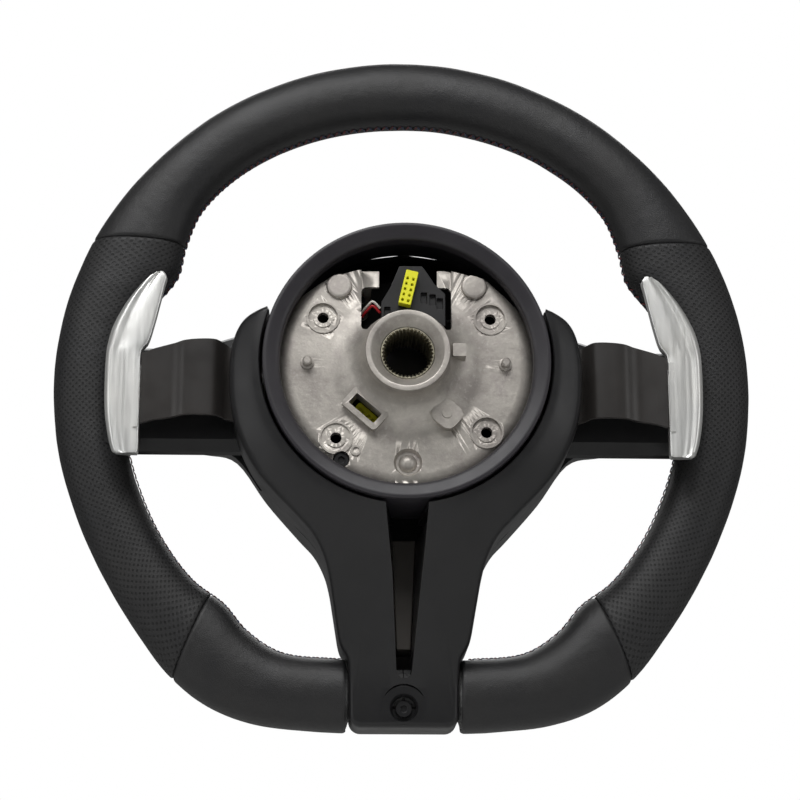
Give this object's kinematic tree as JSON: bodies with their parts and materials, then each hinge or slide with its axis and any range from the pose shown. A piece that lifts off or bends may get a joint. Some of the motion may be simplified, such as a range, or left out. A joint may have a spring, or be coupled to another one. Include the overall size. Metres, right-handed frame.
{
  "type": "car steering wheel",
  "caption": "Flat-bottomed leather car steering wheel with splined cast hub, rear shift paddles, sprung horn pad and thumb buttons.",
  "frame": {"origin": "on the steering axis, in the plane of the hub boss's rear end face", "axes": "+Z to 12 o'clock, +Y along the steering axis towards the driver, +X to the right as seen from the column side"},
  "size_m": [0.3708, 0.104, 0.3711],
  "materials": {
    "black_leather": "smooth automotive leather, satin",
    "grey_foam": "moulded polyurethane foam",
    "cast_metal": "die cast, dull and mottled",
    "satin_silver": "satin silver",
    "yellow_plastic": "moulded",
    "red_wire": "wire insulation",
    "white_wire": "wire insulation",
    "circuit_board": "solder mask",
    "grey_plastic": "fine grain, satin",
    "steel": "plated",
    "black_plastic": "fine grain, satin"
  },
  "bodies": {
    "wheel": {"clip_screw": "steel", "foot_screw": "steel", "front_bezel": "black_plastic", "horn_spring_lower_left": "steel", "horn_spring_right": "steel", "horn_spring_upper_left": "steel", "hub_casting": "cast_metal", "left_bracket_screw": "steel", "left_button_panel": "grey_plastic", "left_circuit_board": "circuit_board", "left_paddle_bracket": "steel", "left_paddle_pin": "steel", "left_paddle_spring": "steel", "left_paddle_switch": "black_plastic", "left_spoke_back": "black_plastic", "lower_spoke_trim": "grey_plastic", "pad_plug": "yellow_plastic", "plug_housing": "black_plastic", "plug_insert": "yellow_plastic", "rear_collar": "grey_plastic", "rear_cover": "black_plastic", "right_bracket_screw": "steel", "right_button_panel": "grey_plastic", "right_circuit_board": "circuit_board", "right_paddle_bracket": "steel", "right_paddle_pin": "steel", "right_paddle_spring": "steel", "right_paddle_switch": "black_plastic", "right_spoke_back": "black_plastic", "rim_core": "steel", "rim_foam": "grey_foam", "rim_leather_left_grip": "black_leather", "rim_leather_lower_left": "black_leather", "rim_leather_lower_right": "black_leather", "rim_leather_right_grip": "black_leather", "rim_leather_top": "black_leather", "spline_bush": "steel", "wire_loom": "black_plastic", "wire_red": "red_wire", "wire_white": "white_wire"},
    "horn_pad": {"pad_cover": "black_leather", "inflator_can": "steel", "pad_back_plate": "steel"},
    "left_paddle": {"left_paddle_arm": "black_plastic", "left_paddle_blade": "satin_silver"},
    "right_paddle": {"right_paddle_arm": "black_plastic", "right_paddle_blade": "satin_silver"},
    "left_button_upper_inner": {"left_button_upper_inner": "black_plastic"},
    "left_button_upper_outer": {"left_button_upper_outer": "black_plastic"},
    "left_button_lower_inner": {"left_button_lower_inner": "black_plastic"},
    "left_button_lower_outer": {"left_button_lower_outer": "black_plastic"},
    "left_roller": {"left_roller": "grey_plastic"},
    "right_button_upper_inner": {"right_button_upper_inner": "black_plastic"},
    "right_button_upper_outer": {"right_button_upper_outer": "black_plastic"},
    "right_button_lower_inner": {"right_button_lower_inner": "black_plastic"},
    "right_button_lower_outer": {"right_button_lower_outer": "black_plastic"},
    "right_roller": {"right_roller": "grey_plastic"}
  },
  "joints": [
    {"name": "horn_press", "type": "slide", "parent": "wheel", "child": "horn_pad", "axis": [0, -1, 0], "range_m": [0, 0.002], "stiffness_N_per_m": 12000, "deforming": ["horn_spring_lower_left", "horn_spring_right", "horn_spring_upper_left"]},
    {"name": "left_paddle_pull", "type": "hinge", "parent": "wheel", "child": "left_paddle", "pos_m": [-0.081, 0.046, -0.01], "axis": [0, 0, -1], "range_deg": [0, 4], "stiffness_Nm_per_rad": 4, "deforming": ["left_paddle_spring"]},
    {"name": "right_paddle_pull", "type": "hinge", "parent": "wheel", "child": "right_paddle", "pos_m": [0.081, 0.046, -0.01], "axis": [0, 0, 1], "range_deg": [0, 4], "stiffness_Nm_per_rad": 4, "deforming": ["right_paddle_spring"]},
    {"name": "left_button_upper_inner_press", "type": "slide", "parent": "wheel", "child": "left_button_upper_inner", "axis": [0, -1, 0], "range_m": [0, 0.0008], "stiffness_N_per_m": 2000},
    {"name": "left_button_upper_outer_press", "type": "slide", "parent": "wheel", "child": "left_button_upper_outer", "axis": [0, -1, 0], "range_m": [0, 0.0008], "stiffness_N_per_m": 2000},
    {"name": "left_button_lower_inner_press", "type": "slide", "parent": "wheel", "child": "left_button_lower_inner", "axis": [0, -1, 0], "range_m": [0, 0.0008], "stiffness_N_per_m": 2000},
    {"name": "left_button_lower_outer_press", "type": "slide", "parent": "wheel", "child": "left_button_lower_outer", "axis": [0, -1, 0], "range_m": [0, 0.0008], "stiffness_N_per_m": 2000},
    {"name": "left_roller_turn", "type": "hinge", "parent": "wheel", "child": "left_roller", "pos_m": [-0.107, 0.087, -0.0055], "axis": [1, 0, 0], "continuous": true},
    {"name": "right_button_upper_inner_press", "type": "slide", "parent": "wheel", "child": "right_button_upper_inner", "axis": [0, -1, 0], "range_m": [0, 0.0008], "stiffness_N_per_m": 2000},
    {"name": "right_button_upper_outer_press", "type": "slide", "parent": "wheel", "child": "right_button_upper_outer", "axis": [0, -1, 0], "range_m": [0, 0.0008], "stiffness_N_per_m": 2000},
    {"name": "right_button_lower_inner_press", "type": "slide", "parent": "wheel", "child": "right_button_lower_inner", "axis": [0, -1, 0], "range_m": [0, 0.0008], "stiffness_N_per_m": 2000},
    {"name": "right_button_lower_outer_press", "type": "slide", "parent": "wheel", "child": "right_button_lower_outer", "axis": [0, -1, 0], "range_m": [0, 0.0008], "stiffness_N_per_m": 2000},
    {"name": "right_roller_turn", "type": "hinge", "parent": "wheel", "child": "right_roller", "pos_m": [0.107, 0.087, -0.0055], "axis": [1, 0, 0], "continuous": true}
  ]
}
